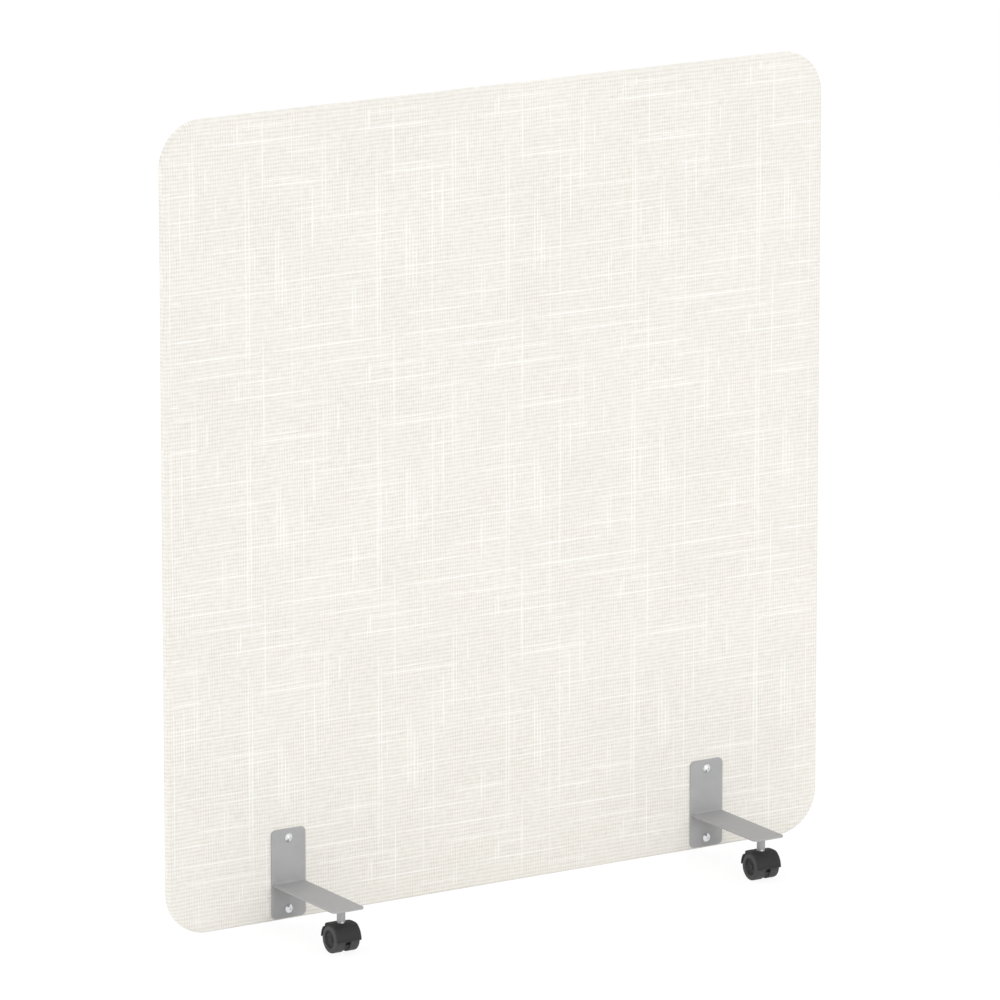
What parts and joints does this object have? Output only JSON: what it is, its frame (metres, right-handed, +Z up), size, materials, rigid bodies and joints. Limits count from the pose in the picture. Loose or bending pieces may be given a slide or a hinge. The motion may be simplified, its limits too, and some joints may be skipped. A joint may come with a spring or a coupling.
{
  "type": "rolling partition",
  "caption": "Low fabric-covered screen panel with rounded corners on bolted angle brackets with braked twin-wheel swivel casters.",
  "frame": {"origin": "on the floor under the middle of the panel", "axes": "+X along the panel's width, +Y from the front towards the rear, +Z up from the floor"},
  "size_m": [1.18, 0.3807, 1.2655],
  "materials": {
    "fabric": "cream slub weave",
    "batting": "thin polyester batting",
    "board": "plain board",
    "grey_steel": "fine matt powder coat",
    "zinc": "bright zinc plate",
    "hood_plastic": "black moulded nylon",
    "wheel_plastic": "dark grey moulded nylon"
  },
  "bodies": {
    "panel_frame": {"core_board": "board", "front_batting": "batting", "rear_batting": "batting", "front_cover": "fabric", "rear_cover": "fabric", "sleeve_nuts": "zinc", "front_screws": "zinc", "rear_screws": "zinc", "left_front_plate": "grey_steel", "left_front_arm": "grey_steel", "left_front_bush": "grey_steel", "left_front_stem": "zinc", "left_front_stem_ring": "zinc", "right_front_plate": "grey_steel", "right_front_arm": "grey_steel", "right_front_bush": "grey_steel", "right_front_stem": "zinc", "right_front_stem_ring": "zinc", "left_rear_plate": "grey_steel", "left_rear_arm": "grey_steel", "left_rear_bush": "grey_steel", "left_rear_stem": "zinc", "left_rear_stem_ring": "zinc", "right_rear_plate": "grey_steel", "right_rear_arm": "grey_steel", "right_rear_bush": "grey_steel", "right_rear_stem": "zinc", "right_rear_stem_ring": "zinc"},
    "left_front_caster": {"left_front_hood": "hood_plastic", "left_front_axle": "zinc", "left_front_pedal_pin": "zinc"},
    "left_front_wheel_1_body": {"left_front_wheel_1": "wheel_plastic"},
    "left_front_wheel_2_body": {"left_front_wheel_2": "wheel_plastic"},
    "left_front_brake": {"left_front_brake_pedal": "hood_plastic"},
    "right_front_caster": {"right_front_hood": "hood_plastic", "right_front_axle": "zinc", "right_front_pedal_pin": "zinc"},
    "right_front_wheel_1_body": {"right_front_wheel_1": "wheel_plastic"},
    "right_front_wheel_2_body": {"right_front_wheel_2": "wheel_plastic"},
    "right_front_brake": {"right_front_brake_pedal": "hood_plastic"},
    "left_rear_caster": {"left_rear_hood": "hood_plastic", "left_rear_axle": "zinc", "left_rear_pedal_pin": "zinc"},
    "left_rear_wheel_1_body": {"left_rear_wheel_1": "wheel_plastic"},
    "left_rear_wheel_2_body": {"left_rear_wheel_2": "wheel_plastic"},
    "left_rear_brake": {"left_rear_brake_pedal": "hood_plastic"},
    "right_rear_caster": {"right_rear_hood": "hood_plastic", "right_rear_axle": "zinc", "right_rear_pedal_pin": "zinc"},
    "right_rear_wheel_1_body": {"right_rear_wheel_1": "wheel_plastic"},
    "right_rear_wheel_2_body": {"right_rear_wheel_2": "wheel_plastic"},
    "right_rear_brake": {"right_rear_brake_pedal": "hood_plastic"}
  },
  "joints": [
    {"name": "left_front_swivel", "type": "hinge", "parent": "panel_frame", "child": "left_front_caster", "pos_m": [-0.38, -0.164, 0.0455], "axis": [0, 0, 1], "continuous": true},
    {"name": "left_front_wheel_1_spin", "type": "hinge", "parent": "left_front_caster", "child": "left_front_wheel_1_body", "pos_m": [-0.38, -0.164, 0.0215], "axis": [1, 0, 0], "continuous": true},
    {"name": "left_front_wheel_2_spin", "type": "hinge", "parent": "left_front_caster", "child": "left_front_wheel_2_body", "pos_m": [-0.38, -0.164, 0.0215], "axis": [1, 0, 0], "continuous": true},
    {"name": "left_front_brake_press", "type": "hinge", "parent": "left_front_caster", "child": "left_front_brake", "pos_m": [-0.38, -0.1512, 0.03105], "axis": [1, 0, 0], "range_deg": [-12, 0]},
    {"name": "right_front_swivel", "type": "hinge", "parent": "panel_frame", "child": "right_front_caster", "pos_m": [0.38, -0.164, 0.0455], "axis": [0, 0, 1], "continuous": true},
    {"name": "right_front_wheel_1_spin", "type": "hinge", "parent": "right_front_caster", "child": "right_front_wheel_1_body", "pos_m": [0.38, -0.164, 0.0215], "axis": [1, 0, 0], "continuous": true},
    {"name": "right_front_wheel_2_spin", "type": "hinge", "parent": "right_front_caster", "child": "right_front_wheel_2_body", "pos_m": [0.38, -0.164, 0.0215], "axis": [1, 0, 0], "continuous": true},
    {"name": "right_front_brake_press", "type": "hinge", "parent": "right_front_caster", "child": "right_front_brake", "pos_m": [0.38, -0.1512, 0.03105], "axis": [1, 0, 0], "range_deg": [-12, 0]},
    {"name": "left_rear_swivel", "type": "hinge", "parent": "panel_frame", "child": "left_rear_caster", "pos_m": [-0.38, 0.164, 0.0455], "axis": [0, 0, 1], "continuous": true},
    {"name": "left_rear_wheel_1_spin", "type": "hinge", "parent": "left_rear_caster", "child": "left_rear_wheel_1_body", "pos_m": [-0.38, 0.164, 0.0215], "axis": [0, 1, 0], "continuous": true},
    {"name": "left_rear_wheel_2_spin", "type": "hinge", "parent": "left_rear_caster", "child": "left_rear_wheel_2_body", "pos_m": [-0.38, 0.164, 0.0215], "axis": [0, 1, 0], "continuous": true},
    {"name": "left_rear_brake_press", "type": "hinge", "parent": "left_rear_caster", "child": "left_rear_brake", "pos_m": [-0.3928, 0.164, 0.03105], "axis": [0, 1, 0], "range_deg": [-12, 0]},
    {"name": "right_rear_swivel", "type": "hinge", "parent": "panel_frame", "child": "right_rear_caster", "pos_m": [0.38, 0.164, 0.0455], "axis": [0, 0, 1], "continuous": true},
    {"name": "right_rear_wheel_1_spin", "type": "hinge", "parent": "right_rear_caster", "child": "right_rear_wheel_1_body", "pos_m": [0.38, 0.164, 0.0215], "axis": [0, -1, 0], "continuous": true},
    {"name": "right_rear_wheel_2_spin", "type": "hinge", "parent": "right_rear_caster", "child": "right_rear_wheel_2_body", "pos_m": [0.38, 0.164, 0.0215], "axis": [0, -1, 0], "continuous": true},
    {"name": "right_rear_brake_press", "type": "hinge", "parent": "right_rear_caster", "child": "right_rear_brake", "pos_m": [0.3928, 0.164, 0.03105], "axis": [0, -1, 0], "range_deg": [-12, 0]}
  ]
}
